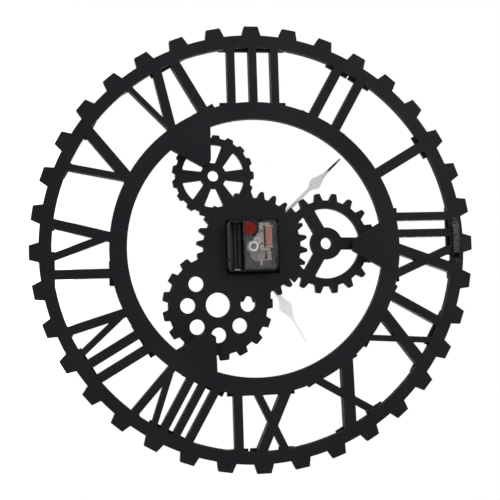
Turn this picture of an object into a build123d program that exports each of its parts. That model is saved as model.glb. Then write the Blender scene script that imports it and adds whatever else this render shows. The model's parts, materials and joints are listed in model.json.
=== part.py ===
from build123d import *
import os
from math import atan2, cos, degrees, hypot, pi, radians, sin
from typing import NamedTuple

# A wall clock cut from black painted board: a toothed ring with Roman numerals, a plate of
# display gears glued on three tabs of the ring, and a quartz movement in the plate's pocket.
# Millimetres. +X points to III, +Z to XII and -Y to the front. The origin is the middle of the
# ring's back face, and depths are counted from that face towards the front.

# Board sheets
ring_thickness = 8.0
numeral_thickness = 5.0
gear_plate_thickness = 8.0
front_gear_thickness = 5.0

# Dial ring, from its tooth tips inwards
ring_radius = 250.0
ring_teeth = 36
ring_tooth_height = 10.2
ring_tooth_tip_width = 15.6
ring_tooth_root_width = 21.7
outer_band_width = 13.8
numeral_height = 62.0
inner_band_width = 19.2
bar_root = 6.0
inner_bar_root = 9.0

# Tabs that carry the gear plate, at XII, IV and VIII
tab_angles = (0.0, 120.0, 240.0)
tab_length = 35.8
tab_base_width = 54.0
tab_tip_width = 11.5
tab_tip_round = 4.0

# Serifs of the numerals; overhangs in hundredths of the inner band's outer radius, less on the wide numerals
serif_height = 7.0
head_serif_reach = 3.0
foot_serif_reach = 0.5
serif_overhang = 5.2
wide_serif_overhang = 3.6
wide_numerals = (7, 8, 9, 12)
inside_serif_overhang = 1.5

# Hand axis, where the gear plate was glued a little off the ring's centre
arbor_x = 1.6
arbor_z = -4.4

# Centre gear of the gear plate, repeated by the front gear
centre_gear_teeth = 26
centre_gear_radius = 62.8
centre_gear_tooth_height = 7.8
centre_gear_tip_share = 0.237
centre_gear_root_share = 0.662
centre_gear_first_tooth = 8.8
pocket_gap = 1.5
pocket_gap_at_nine = 2.5

# Spoked gear at XII
spoked_gear_teeth = 18
spoked_gear_tooth_height = 8.2
spoked_gear_tip_share = 0.26
spoked_gear_root_share = 0.572
spoked_gear_heading = 1.2
spoked_gear_bite = 35.15
spoked_gear_band_gap = 6.9
spoked_gear_turn = -1.3
spoked_gear_hub_radius = 18.2
spoked_gear_hole_radius = 6.6
spoked_gear_rim_width = 9.4
spoked_gear_spoke_width = 13.8

# Wedge gear at IV
wedge_gear_teeth = 17
wedge_gear_tooth_height = 3.5
wedge_gear_tip_share = 0.422
wedge_gear_root_share = 0.646
wedge_gear_heading = 117.7
wedge_gear_bite = 18.3
wedge_gear_band_gap = 4.4
wedge_gear_hole_radius = 6.2
wedge_gear_hub_radius = 14.4
wedge_gear_rim_width = 7.3
wedge_gear_spokes = 6
wedge_gear_spoke_inner_width = 9.0
wedge_gear_spoke_outer_width = 14.8

# Drilled gear at VIII
drilled_gear_teeth = 17
drilled_gear_tooth_height = 6.3
drilled_gear_tip_share = 0.436
drilled_gear_root_share = 0.602
drilled_gear_heading = 237.6
drilled_gear_bite = 48.65
drilled_gear_band_gap = 5.5
drilled_gear_hole_radius = 13.8
drilled_gear_round_radius = 8.6
drilled_gear_round_circle = 33.8
drilled_gear_round_angles = (0.0, 135.0, 180.0, 225.0, 270.0, 315.0)

# Rounding of the sawn display teeth and windows
tooth_tip_round = 1.0
tooth_root_round = 1.2
window_round = 1.5

# Sawtooth hanger on the ring's back at XII
hanger_x = 2.8
hanger_screw_spacing = 45.5
hanger_length = 54.0
hanger_raised_length = 36.0
hanger_width = 7.5
hanger_sheet = 0.8
hanger_rise = 1.6
hanger_band_gap = 1.0
hanger_tooth_pitch = 3.6
hanger_tooth_depth = 1.6
hanger_screw_radius = 1.2
hanger_screw_length = 6.0
hanger_screw_head_radius = 2.6
hanger_screw_head_height = 1.1
hanger_screw_slot_width = 0.6
hanger_screw_slot_depth = 0.4

# Movement case, seen along its own square
case_side = 57.0
case_depth = 16.0
case_corner = 6.0
case_shift_x = 0.6
case_shift_z = -0.9
case_wall = 1.5
case_floor = 1.6
bay_rim = 3.5
bay_width = 14.6
bay_length = 53.4
bay_floor = 1.2
bay_wall = 1.9
bay_ribs = 3
bay_rib_width = 3.0
bay_rib_height = 0.5
bay_rib_length = 50.0
bay_rib_spacing = 4.6
bushing_radius = 4.0
thread_showing = 0.8
clip_hole_radius = 1.2
clip_hole_x = -14.6
clip_hole_inset = 3.0
clip_hole_depth = 2.0

# Clear cover
cover_thickness = 1.8
recess_depth = 2.6
recess_floor = 1.2
recess_wall = 0.5
cover_ring_inner_radius = 3.6
cover_ring_outer_radius = 5.4
cover_ring_height = 0.8
cover_disc_radius = 4.8
cover_disc_x = -13.2
cover_disc_z = 8.2
cover_rim = 2.2
clip_notch_offset = 5.9
clip_notch_length = 9.0
clip_notch_width = 2.0

# Wheel train: tooth counts, and the distances between the axes
motion_pinion_teeth = 10
cannon_teeth = 12
motion_wheel_teeth = 36
hour_wheel_teeth = 40
knob_pinion_teeth = 18
centre_wheel_teeth = 64
third_pinion_teeth = 8
third_wheel_teeth = 60
second_pinion_teeth = 8
second_wheel_teeth = 48
fifth_pinion_teeth = 8
fifth_wheel_teeth = 40
rotor_pinion_teeth = 8
setting_module = 0.4
third_distance = 9.96
fifth_distance = 8.4
rotor_distance = 5.76
third_heading = -56.0
fifth_heading = 52.0
rotor_heading = 58.0
motion_heading = 90.5
knob_heading = 105.7
tooth_root_share = 0.5
tooth_tip_share = 0.18
tooth_addendum = 0.85
tooth_dedendum = 1.2

# Wheel layers and arbors
wheel_thickness = 0.9
axial_gap = 0.5
pinion_overrun = 0.2
train_plate_thickness = 0.8
pivot_radius = 0.4
pivot_length = 2.0
train_arbor_radius = 0.7
boss_radius = 1.3
motion_post_radius = 0.8
running_gap = 0.05
seat_gap = 0.02
part_gap = 0.3
plate_post_radius = 2.0

# Set knob
knob_radius = 7.0
knob_stand = 0.6
knob_stem_radius = 1.3
knob_flutes = 24
knob_flute_radius = 0.45

# Stepping motor and board
magnet_radius = 2.6
magnet_height = 2.0
stator_thickness = 1.0
stator_hole_radius = 3.1
stator_ring_radius = 4.0
stator_strip_width = 4.4
stator_strip_bottom = 8.0
stator_leg_width = 3.0
stator_leg_gap = 0.4
stator_post_radius = 1.5
coil_length = 22.5
coil_width = 7.8
coil_bottom = 14.6
coil_middle_x = 11.0
flange_thickness = 1.2
flange_overhang = 0.6
core_width = 2.6
bobbin_wall = 0.5
board_thickness = 1.0
board_length = 8.7
board_width = 14.0
board_end_gap = 2.9
board_side_gap = 4.6
board_arm_width = 4.6
board_arm_gap = 0.4
board_pin_radius = 0.7
chip_radius = 3.0
chip_height = 1.2
crystal_radius = 1.0
crystal_length = 6.0
crystal_edge_gap = 0.4

# Battery contacts
contact_sheet = 0.4
contact_width = 10.0
contact_height = 11.0
contact_spring = 2.4
contact_dimple_radius = 2.6
contact_dimple_height = 0.7

# Hands, hour pipe, minute arbor and their nuts
minute_arbor_radius = 1.75
minute_tip_radius = 1.4
clutch_arbor_radius = 1.0
hour_pipe_wall = 0.7
washer_radius = 8.0
washer_thickness = 0.8
nut_across_flats = 12.0
nut_thickness = 2.2
hand_sheet = 0.6
hand_gap = 1.2
collet_wall = 1.0
collet_length = 0.8
hour_hand_angle = 299.4
hour_hand_length = 125.6
hour_hub_radius = 7.0
hour_stem_width = 5.2
hour_waist_share = 0.5096
hour_bulge_share = 0.617
hour_bulge_width = 14.4
hour_shoulder_share = 0.8041
hour_needle_width = 1.8
hour_tip_width = 0.8
minute_hand_angle = 42.7
minute_hand_length = 149.2
minute_hub_radius = 5.6
minute_stem_width = 4.0
minute_waist_share = 0.6354
minute_bulge_share = 0.693
minute_bulge_width = 11.6
minute_shoulder_share = 0.8715
minute_needle_width = 2.8
minute_tip_width = 2.2
hand_nut_radius = 3.4
hand_nut_height = 3.6

# Radii and depths that follow
ring_root_radius = ring_radius - ring_tooth_height
outer_band_inner_radius = ring_root_radius - outer_band_width
inner_band_outer_radius = outer_band_inner_radius - numeral_height
inner_band_inner_radius = inner_band_outer_radius - inner_band_width
numeral_unit = inner_band_outer_radius / 100.0
tab_tip_radius = inner_band_inner_radius - tab_length
gear_plate_back = ring_thickness
front_gear_back = gear_plate_back + gear_plate_thickness
front_face = front_gear_back + front_gear_thickness
case_back = front_gear_back - case_depth

floor_depth = front_gear_back - case_floor
hour_layer = floor_depth - axial_gap - wheel_thickness
motion_layer = hour_layer - axial_gap - wheel_thickness
centre_layer = motion_layer - axial_gap - wheel_thickness
plate_layer = centre_layer - axial_gap - train_plate_thickness
third_layer = plate_layer - axial_gap - wheel_thickness
second_layer = third_layer - axial_gap - wheel_thickness
fifth_layer = second_layer - axial_gap - wheel_thickness
cover_inside = case_back + cover_thickness
stator_layer = third_layer - part_gap - stator_thickness

washer_back = front_face
nut_back = washer_back + washer_thickness
bushing_end = nut_back + nut_thickness + thread_showing
hour_hand_back = bushing_end + hand_gap
hour_pipe_end = hour_hand_back + hand_sheet + hand_gap / 2
minute_hand_back = hour_pipe_end + collet_length + hand_gap / 2
minute_arbor_end = minute_hand_back + hand_sheet + hand_nut_height - 1.0

hour_pipe_inner_radius = minute_arbor_radius + running_gap
hour_pipe_radius = hour_pipe_inner_radius + hour_pipe_wall
bushing_bore_radius = hour_pipe_radius + running_gap

bay_bottom = case_shift_z - case_side / 2 + bay_rim
bay_top = bay_bottom + bay_width
bay_middle = bay_bottom + bay_width / 2
chamber_bottom = bay_top + bay_wall
chamber_top = case_shift_z + case_side / 2 - case_wall
chamber_left = case_shift_x - case_side / 2 + case_wall
chamber_right = case_shift_x + case_side / 2 - case_wall
bay_left = case_shift_x - bay_length / 2
bay_right = case_shift_x + bay_length / 2
bay_floor_depth = front_gear_back - bay_floor


class Stroke(NamedTuple):
    """A stroke of a numeral: its middle at the inner and the outer band, its width, and its foot serif."""

    foot: float
    head: float
    width: float
    foot_serif: bool


def scaled_stroke(foot, head, width, foot_serif):
    return Stroke(foot * numeral_unit, head * numeral_unit, width * numeral_unit, foot_serif)


def bar(place, width):
    return scaled_stroke(place, place, width, True)


def arm(foot, head, width):
    return scaled_stroke(foot, head, width, True)


def leg(foot, head, width):
    return scaled_stroke(foot, head, width, False)


# The twelve numerals, each upright about its own hour line, in hundredths of the inner band's outer radius
numerals = {
    1: [bar(0.0, 7.1)],
    2: [bar(-9.1, 6.3), bar(8.8, 6.6)],
    3: [bar(-15.7, 5.4), bar(-0.6, 5.4), bar(14.6, 5.4)],
    4: [bar(-17.4, 6.6), leg(7.6, -4.0, 6.6), leg(8.5, 18.2, 3.5)],
    5: [leg(0.7, -13.7, 8.0), leg(1.5, 14.3, 4.8)],
    6: [leg(-9.5, -19.2, 6.7), leg(-9.8, 3.7, 5.2), bar(15.0, 6.3)],
    7: [leg(-9.5, -18.5, 6.3), leg(-9.3, -1.0, 4.5), bar(7.3, 6.2), bar(18.9, 6.2)],
    8: [leg(-12.6, -20.7, 5.6), leg(-12.4, -5.0, 4.2), bar(2.1, 5.5), bar(11.1, 5.2), bar(20.7, 5.5)],
    9: [bar(-16.5, 6.0), arm(16.0, -1.2, 7.3), arm(-2.3, 15.4, 5.5)],
    10: [arm(11.3, -9.5, 9.3), arm(-11.2, 10.3, 6.0)],
    11: [arm(1.9, -14.3, 8.4), arm(-16.3, 2.1, 4.6), bar(16.3, 6.3)],
    12: [arm(-3.2, -17.2, 7.5), arm(-19.3, -3.5, 5.8), bar(7.7, 5.5), bar(19.4, 5.7)],
}


def slab(face, back, thickness):
    """A flat piece standing in the dial's plane, from its back face towards the front."""
    return extrude(Plane.XZ.offset(back) * face, amount=thickness)


def rod(radius, back, front, place=(0.0, 0.0)):
    return slab(Pos(*place) * Circle(radius), back, front - back)


def block(left, right, bottom, top, back, front):
    middle = ((left + right) / 2, (bottom + top) / 2)
    return slab(Pos(*middle) * Rectangle(right - left, top - bottom), back, front - back)


def on_arbor(piece):
    return Pos(arbor_x, 0, arbor_z) * piece


def clock_point(radius, angle):
    """A point of the dial's plane at a clock angle, counted from XII towards III."""
    return (radius * sin(radians(angle)), radius * cos(radians(angle)))


def turned(face, angle):
    """A face turned clockwise as seen from the front."""
    return Rot(0, 0, -angle) * face


def gear_face(teeth, tip_radius, root_radius, tip_width, root_width, first_tooth=0.0):
    """A toothed disc with straight-sided teeth, its first tooth at a clock angle."""
    pitch = 360.0 / teeth
    tip_half = degrees(tip_width / 2 / tip_radius)
    root_half = degrees(root_width / 2 / root_radius)
    edges = []
    for number in range(teeth):
        middle = first_tooth + number * pitch
        start = clock_point(root_radius, middle - root_half)
        rise = clock_point(tip_radius, middle - tip_half)
        fall = clock_point(tip_radius, middle + tip_half)
        end = clock_point(root_radius, middle + root_half)
        valley = clock_point(root_radius, middle + pitch / 2)
        following = clock_point(root_radius, middle + pitch - root_half)
        edges += [Line(start, rise), Line(rise, fall), Line(fall, end)]
        edges.append(ThreePointArc(end, valley, following))
    return make_face(edges)


def display_gear(teeth, tip_radius, tooth_height, tip_share, root_share, first_tooth):
    """A sawn gear outline with the rounding that the saw leaves; tooth widths are shares of the pitch."""
    root_radius = tip_radius - tooth_height
    tip_width = tip_share * 2 * pi * tip_radius / teeth
    root_width = root_share * 2 * pi * root_radius / teeth
    face = gear_face(teeth, tip_radius, root_radius, tip_width, root_width, first_tooth)
    middle_radius = tip_radius - tooth_height / 2
    corners = face.vertices()
    roots = [corner for corner in corners if hypot(corner.X, corner.Y) < middle_radius]
    face = fillet(roots, tooth_root_round)
    tips = [corner for corner in face.vertices() if hypot(corner.X, corner.Y) > tip_radius - 0.01]
    return fillet(tips, min(tooth_tip_round, tip_width * 0.45))


def train_gear(teeth, module, first_tooth):
    pitch_radius = teeth * module / 2
    tip_radius = pitch_radius + tooth_addendum * module
    root_radius = pitch_radius - tooth_dedendum * module
    pitch_angle = 2 * pi / teeth
    tip_width = tooth_tip_share * pitch_angle * tip_radius
    root_width = tooth_root_share * pitch_angle * root_radius
    return gear_face(teeth, tip_radius, root_radius, tip_width, root_width, first_tooth)


def tip_of(teeth, module):
    return module * (teeth / 2 + tooth_addendum)


def heading(start, end):
    """The clock angle of the line from one point of the dial's plane to another."""
    return degrees(atan2(end[0] - start[0], end[1] - start[1]))


def meshing_tooth(driver_tooth, driver_teeth, line, follower_teeth):
    """The follower's first tooth, so that its gap faces the driver's tooth along the line of centres."""
    offset = (driver_tooth - line) * driver_teeth / 360.0
    return line + 180.0 + (0.5 - offset) * 360.0 / follower_teeth


def shifted(place, distance, angle):
    step = clock_point(distance, angle)
    return (place[0] + step[0], place[1] + step[1])


# Axes of the train, from the hand axis
axis = (0.0, 0.0)
motion_distance = setting_module * (cannon_teeth + motion_wheel_teeth) / 2
knob_distance = setting_module * (motion_wheel_teeth + knob_pinion_teeth) / 2
hour_module = 2 * motion_distance / (motion_pinion_teeth + hour_wheel_teeth)
centre_module = 2 * third_distance / (centre_wheel_teeth + third_pinion_teeth)
third_module = 2 * third_distance / (third_wheel_teeth + second_pinion_teeth)
second_module = 2 * fifth_distance / (second_wheel_teeth + fifth_pinion_teeth)
fifth_module = 2 * rotor_distance / (fifth_wheel_teeth + rotor_pinion_teeth)
motion_place = clock_point(motion_distance, motion_heading)
knob_place = shifted(motion_place, knob_distance, knob_heading)
third_place = clock_point(third_distance, third_heading)
fifth_place = clock_point(fifth_distance, fifth_heading)
rotor_place = shifted(fifth_place, rotor_distance, rotor_heading)


def stroke_middle(stroke, height):
    """Where a stroke's middle lies at a height above the ring's centre."""
    share = (height - inner_band_outer_radius) / numeral_height
    return stroke.foot + (stroke.head - stroke.foot) * share


def stroke_face(stroke, bottom, top):
    half = stroke.width / 2
    low = stroke_middle(stroke, bottom)
    high = stroke_middle(stroke, top)
    corners = [(low - half, bottom), (low + half, bottom), (high + half, top), (high - half, top)]
    return make_face(Polyline(*corners, close=True))


def strip(left, right, bottom, top):
    return Pos((left + right) / 2, (bottom + top) / 2) * Rectangle(right - left, top - bottom)


def head_serif(stroke, overhang):
    """The serif at a stroke's outer end; a leaning stroke has the longer side where it leans to."""
    bottom = outer_band_inner_radius - head_serif_reach
    middle = stroke_middle(stroke, outer_band_inner_radius)
    inside = inside_serif_overhang * numeral_unit
    left = middle - stroke.width / 2 - overhang
    right = middle + stroke.width / 2 + overhang
    if stroke.head < stroke.foot:
        right = middle + stroke.width / 2 + inside
    if stroke.head > stroke.foot:
        left = middle - stroke.width / 2 - inside
    return strip(left, right, bottom, bottom + serif_height)


def numeral_face(strokes, overhang):
    """A numeral standing upright at XII: its strokes, a serif on every head and one strip under the feet."""
    foot_top = inner_band_outer_radius + foot_serif_reach
    bottom = foot_top - serif_height
    top = outer_band_inner_radius - head_serif_reach + serif_height
    face = Sketch()
    for stroke in strokes:
        face += stroke_face(stroke, bottom, top)
        face += head_serif(stroke, overhang)
    footed = [stroke for stroke in strokes if stroke.foot_serif]
    if footed:
        left = min(stroke.foot - stroke.width / 2 for stroke in footed) - overhang
        right = max(stroke.foot + stroke.width / 2 for stroke in footed) + overhang
        face += strip(left, right, bottom, foot_top)
    return face


def tab_face():
    """A tab that tapers from the inner band towards the centre."""
    root = inner_band_inner_radius + inner_band_width / 2
    slope = (tab_base_width - tab_tip_width) / 2 / tab_length
    root_half = tab_tip_width / 2 + slope * (root - tab_tip_radius)
    tip_half = tab_tip_width / 2
    corners = [(-tip_half, tab_tip_radius), (tip_half, tab_tip_radius), (root_half, root), (-root_half, root)]
    face = make_face(Polyline(*corners, close=True))
    tips = [corner for corner in face.vertices() if corner.Y < tab_tip_radius + 0.01]
    return fillet(tips, tab_tip_round)


# Dial ring
outer_band = gear_face(
    ring_teeth, ring_radius, ring_root_radius, ring_tooth_tip_width, ring_tooth_root_width
)
ring_face = outer_band - Circle(outer_band_inner_radius)
ring_face += Circle(inner_band_outer_radius) - Circle(inner_band_inner_radius)
for angle in tab_angles:
    ring_face += turned(tab_face(), angle)
for hour, strokes in numerals.items():
    for stroke in strokes:
        low = inner_band_outer_radius - inner_bar_root
        high = outer_band_inner_radius + bar_root
        ring_face += turned(stroke_face(stroke, low, high), 30.0 * hour)
dial_ring = slab(ring_face, 0.0, ring_thickness)

hanger_bottom = outer_band_inner_radius + hanger_band_gap
hanger_middle = hanger_bottom + hanger_width / 2
hanger_screw_places = [(hanger_x + side * hanger_screw_spacing / 2, hanger_middle) for side in (-1, 1)]
screw_depth = hanger_screw_length - hanger_sheet
for place in hanger_screw_places:
    dial_ring -= rod(hanger_screw_radius + seat_gap, 0.0, screw_depth + part_gap, place)

nodes = {"dial_ring": dial_ring}
for hour, strokes in numerals.items():
    overhang = wide_serif_overhang if hour in wide_numerals else serif_overhang
    face = turned(numeral_face(strokes, overhang * numeral_unit), 30.0 * hour)
    nodes[f"numeral_{hour:02d}"] = slab(face, ring_thickness, numeral_thickness)


def gear_span(angle, bite, band_gap):
    """A display gear's centre and tip radius, from the centre gear's tips to the inner band."""
    near = centre_gear_radius - bite
    reach = inner_band_inner_radius - band_gap + near
    along = arbor_x * sin(radians(angle)) + arbor_z * cos(radians(angle))
    distance = (reach**2 - arbor_x**2 - arbor_z**2) / (2 * (along + reach))
    return shifted((arbor_x, arbor_z), distance, angle), distance - near


spoked_place, spoked_gear_radius = gear_span(spoked_gear_heading, spoked_gear_bite, spoked_gear_band_gap)
wedge_place, wedge_gear_radius = gear_span(wedge_gear_heading, wedge_gear_bite, wedge_gear_band_gap)
drilled_place, drilled_gear_radius = gear_span(drilled_gear_heading, drilled_gear_bite, drilled_gear_band_gap)


spoked_rim_radius = spoked_gear_radius - spoked_gear_tooth_height - spoked_gear_rim_width
wedge_rim_radius = wedge_gear_radius - wedge_gear_tooth_height - wedge_gear_rim_width


def shared_rim(place, gear_radius, rim_radius):
    """The part of a gear's rim that lies within the centre gear's tips, where no teeth are cut."""
    rim = Pos(*place) * (Circle(gear_radius) - Circle(rim_radius))
    return rim & Pos(arbor_x, arbor_z) * Circle(centre_gear_radius)


def spoked_gear():
    face = display_gear(
        spoked_gear_teeth,
        spoked_gear_radius,
        spoked_gear_tooth_height,
        spoked_gear_tip_share,
        spoked_gear_root_share,
        spoked_gear_turn,
    )
    windows = Circle(spoked_rim_radius) - Circle(spoked_gear_hub_radius)
    for angle in (0.0, 120.0, 240.0):
        spoke = strip(-spoked_gear_spoke_width / 2, spoked_gear_spoke_width / 2, 0.0, spoked_gear_radius)
        windows -= turned(spoke, angle + spoked_gear_turn)
    windows = fillet(windows.vertices(), window_round)
    return face - windows - Circle(spoked_gear_hole_radius)


def wedge_gear():
    face = display_gear(
        wedge_gear_teeth,
        wedge_gear_radius,
        wedge_gear_tooth_height,
        wedge_gear_tip_share,
        wedge_gear_root_share,
        0.0,
    )
    windows = Circle(wedge_rim_radius) - Circle(wedge_gear_hub_radius)
    inner = wedge_gear_spoke_inner_width / 2
    outer = wedge_gear_spoke_outer_width / 2
    for number in range(wedge_gear_spokes):
        low = wedge_gear_hub_radius * 0.8
        corners = [(-inner, low), (inner, low), (outer, wedge_rim_radius), (outer, wedge_rim_radius + 1.0)]
        corners += [(-outer, wedge_rim_radius + 1.0), (-outer, wedge_rim_radius)]
        spoke = make_face(Polyline(*corners, close=True))
        windows -= turned(spoke, number * 360.0 / wedge_gear_spokes)
    windows = fillet(windows.vertices(), window_round)
    return face - windows - Circle(wedge_gear_hole_radius)


def drilled_gear():
    return display_gear(
        drilled_gear_teeth,
        drilled_gear_radius,
        drilled_gear_tooth_height,
        drilled_gear_tip_share,
        drilled_gear_root_share,
        0.0,
    )


centre_gear = display_gear(
    centre_gear_teeth,
    centre_gear_radius,
    centre_gear_tooth_height,
    centre_gear_tip_share,
    centre_gear_root_share,
    centre_gear_first_tooth,
)
centre_gear = Pos(arbor_x, arbor_z) * centre_gear

# Gear plate: the windows of two gears show the centre gear's teeth, the drilled gear's holes go through
plate_face = centre_gear + Pos(*spoked_place) * spoked_gear()
plate_face += Pos(*wedge_place) * wedge_gear()
plate_face += shared_rim(spoked_place, spoked_gear_radius, spoked_rim_radius)
plate_face += shared_rim(wedge_place, wedge_gear_radius, wedge_rim_radius)
plate_face += Pos(*drilled_place) * drilled_gear()
plate_face -= Pos(*drilled_place) * Circle(drilled_gear_hole_radius)
for angle in drilled_gear_round_angles:
    round_place = shifted(drilled_place, drilled_gear_round_circle, angle)
    plate_face -= Pos(*round_place) * Circle(drilled_gear_round_radius)
pocket_height = case_side + 2 * pocket_gap
pocket_length = case_side + pocket_gap + pocket_gap_at_nine
pocket_middle = arbor_x + (pocket_gap - pocket_gap_at_nine) / 2
plate_face -= Pos(pocket_middle, arbor_z) * Rectangle(pocket_length, pocket_height)
nodes["gear_plate"] = slab(plate_face, gear_plate_back, gear_plate_thickness)

front_gear_face = centre_gear - Pos(arbor_x, arbor_z) * Circle(bushing_radius + seat_gap)
nodes["front_gear"] = slab(front_gear_face, front_gear_back, front_gear_thickness)

# Sawtooth hanger: flat ends, a raised middle and teeth along its lower edge
half_length = hanger_length / 2
half_raised = hanger_raised_length / 2
foot = half_raised + hanger_rise
low_side = [(-half_length, 0.0), (-foot, 0.0), (-half_raised, hanger_rise)]
low_side += [(half_raised, hanger_rise), (foot, 0.0), (half_length, 0.0)]
high_side = [(half_length, hanger_sheet), (foot + hanger_sheet / 2, hanger_sheet)]
high_side += [(half_raised + hanger_sheet / 2, hanger_rise + hanger_sheet)]
high_side += [(-half_raised - hanger_sheet / 2, hanger_rise + hanger_sheet)]
high_side += [(-foot - hanger_sheet / 2, hanger_sheet), (-half_length, hanger_sheet)]
hanger_profile = Pos(hanger_x, 0.0) * make_face(Polyline(*low_side, *high_side, close=True))
hanger = extrude(Plane.XY.offset(hanger_bottom) * hanger_profile, amount=hanger_width)
hanger_back = -hanger_rise - hanger_sheet
tooth_count = int(hanger_raised_length // hanger_tooth_pitch)
for number in range(tooth_count):
    middle = hanger_x + (number - (tooth_count - 1) / 2) * hanger_tooth_pitch
    half = hanger_tooth_pitch / 2 - 0.2
    corners = [(middle - half, hanger_bottom), (middle + half, hanger_bottom)]
    corners += [(middle, hanger_bottom + hanger_tooth_depth)]
    hanger -= slab(make_face(Polyline(*corners, close=True)), hanger_back, -hanger_back)
for place in hanger_screw_places:
    hanger -= rod(hanger_screw_radius + seat_gap, -hanger_sheet, 0.0, place)
nodes["sawtooth_hanger"] = hanger


def hanger_screw(place):
    head_back = -hanger_sheet - hanger_screw_head_height
    screw = rod(hanger_screw_head_radius, head_back, -hanger_sheet, place)
    screw += rod(hanger_screw_radius, -hanger_sheet, screw_depth, place)
    slot = hanger_screw_slot_width / 2
    arm_half = hanger_screw_head_radius * 0.6
    slot_front = head_back + hanger_screw_slot_depth
    x, z = place
    screw -= block(x - slot, x + slot, z - arm_half, z + arm_half, head_back, slot_front)
    return screw - block(x - arm_half, x + arm_half, z - slot, z + slot, head_back, slot_front)


nodes["hanger_screws"] = Compound([hanger_screw(place).solid() for place in hanger_screw_places])

# First teeth of the meshing wheels
cannon_tooth = 0.0
to_motion = heading(axis, motion_place)
motion_tooth = meshing_tooth(cannon_tooth, cannon_teeth, to_motion, motion_wheel_teeth)
to_knob = heading(motion_place, knob_place)
knob_tooth = meshing_tooth(motion_tooth, motion_wheel_teeth, to_knob, knob_pinion_teeth)
to_axis = heading(motion_place, axis)
hour_tooth = meshing_tooth(motion_tooth, motion_pinion_teeth, to_axis, hour_wheel_teeth)
second_tooth = 0.0
to_fifth = heading(axis, fifth_place)
fifth_tooth = meshing_tooth(second_tooth, second_wheel_teeth, to_fifth, fifth_pinion_teeth)
to_rotor = heading(fifth_place, rotor_place)
rotor_tooth = meshing_tooth(fifth_tooth, fifth_wheel_teeth, to_rotor, rotor_pinion_teeth)
to_third = heading(axis, third_place)
third_tooth = meshing_tooth(second_tooth, second_pinion_teeth, to_third, third_wheel_teeth)
back_to_axis = heading(third_place, axis)
centre_tooth = meshing_tooth(third_tooth, third_pinion_teeth, back_to_axis, centre_wheel_teeth)


def wheel(teeth, module, first_tooth, back, front, place):
    return slab(Pos(*place) * train_gear(teeth, module, first_tooth), back, front - back)


# Movement case with its bushing, wheel posts and battery bay
case_outline = Pos(case_shift_x, case_shift_z) * RectangleRounded(case_side, case_side, case_corner)
case_top = case_shift_z + case_side / 2
case_right = case_shift_x + case_side / 2
case_left = case_shift_x - case_side / 2
recess_radius = knob_radius + part_gap
cup_radius = recess_radius + recess_wall
cup_front = case_back + recess_depth + recess_floor
case = slab(case_outline, case_back, case_depth)
cover_left = case_left + cover_rim
case -= block(cover_left - seat_gap, case_right + 1.0, bay_top, case_top + 1.0, case_back, cover_inside)
case -= block(chamber_left, chamber_right, chamber_bottom, chamber_top, cover_inside, floor_depth)
case -= block(bay_left, bay_right, bay_bottom, bay_top, case_back, bay_floor_depth)
case -= rod(cup_radius + seat_gap, case_back, cup_front + seat_gap, knob_place)
case += rod(bushing_radius, front_gear_back, bushing_end)
case -= rod(bushing_bore_radius, floor_depth, bushing_end)
case += rod(motion_post_radius, motion_layer, floor_depth, motion_place)
third_pinion_front = centre_layer + wheel_thickness + pinion_overrun
third_pivot_front = third_pinion_front + pivot_length
case += rod(boss_radius, third_pinion_front + part_gap, floor_depth, third_place)
case -= rod(pivot_radius + running_gap, third_pinion_front, third_pivot_front + running_gap, third_place)
knob_pinion_front = motion_layer + wheel_thickness + pinion_overrun
knob_pivot_front = floor_depth - part_gap
case += rod(boss_radius, knob_pinion_front + part_gap, floor_depth, knob_place)
case -= rod(train_arbor_radius + running_gap, knob_pinion_front, knob_pivot_front + part_gap / 2, knob_place)
plate_front = plate_layer + train_plate_thickness
post_inset = plate_post_radius + part_gap
post_places = []
for x in (chamber_left + post_inset, chamber_right - post_inset):
    for z in (chamber_bottom + post_inset, chamber_top - post_inset):
        post_places.append((x, z))
for place in post_places:
    case += rod(plate_post_radius, plate_front, floor_depth, place)
rib_left = case_shift_x - bay_rib_length / 2
rib_right = case_shift_x + bay_rib_length / 2
rib_back = bay_floor_depth - bay_rib_height
for number in range(bay_ribs):
    low = bay_middle + (number - (bay_ribs - 1) / 2) * bay_rib_spacing - bay_rib_width / 2
    case += block(rib_left, rib_right, low, low + bay_rib_width, rib_back, bay_floor_depth)
clip_z = bay_bottom - bay_rim / 2
case -= rod(clip_hole_radius, case_back, case_back + clip_hole_depth, (clip_hole_x, clip_z))
nodes["movement_case"] = on_arbor(case)

# Clear cover: a plate over the wheels with the knob's round recess, pivot bosses, a moulded ring and a disc
cover_width = case_right - cover_left
cover_middle = (cover_left + case_right) / 2
cover_outline = Pos(cover_middle, case_shift_z) * RectangleRounded(cover_width, case_side, case_corner)
cover_face = cover_outline & strip(cover_left, case_right + 1.0, bay_top, case_top + 1.0)
cover = slab(cover_face, case_back, cover_thickness)
recess_front = case_back + recess_depth
cover += rod(cup_radius, case_back, cup_front, knob_place)
cover -= rod(recess_radius, case_back, recess_front, knob_place)
cover -= rod(knob_stem_radius + running_gap, recess_front, cup_front, knob_place)
moulded_ring = Circle(cover_ring_outer_radius) - Circle(cover_ring_inner_radius)
cover += slab(moulded_ring, cover_inside, cover_ring_height)
disc_place = (cover_disc_x, cover_disc_z)
cover += rod(cover_disc_radius, cover_inside, cover_inside + cover_ring_height, disc_place)
fifth_pinion_front = second_layer + wheel_thickness + pinion_overrun
rotor_pinion_back = fifth_layer - pinion_overrun
pivot_backs = {
    axis: second_layer,
    third_place: third_layer,
    fifth_place: fifth_layer,
    rotor_place: rotor_pinion_back,
}
for place, wheel_back in pivot_backs.items():
    boss_front = wheel_back - axial_gap
    cover += rod(boss_radius, cover_inside, boss_front, place)
    cover -= rod(pivot_radius + running_gap, wheel_back - pivot_length - running_gap, boss_front, place)
clip_place = (clip_hole_x, case_top - clip_hole_inset)
cover -= rod(clip_hole_radius, case_back, cover_inside, clip_place)
notch_left = case_right - clip_notch_width
notch_bottom = knob_place[1] + clip_notch_offset
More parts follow.
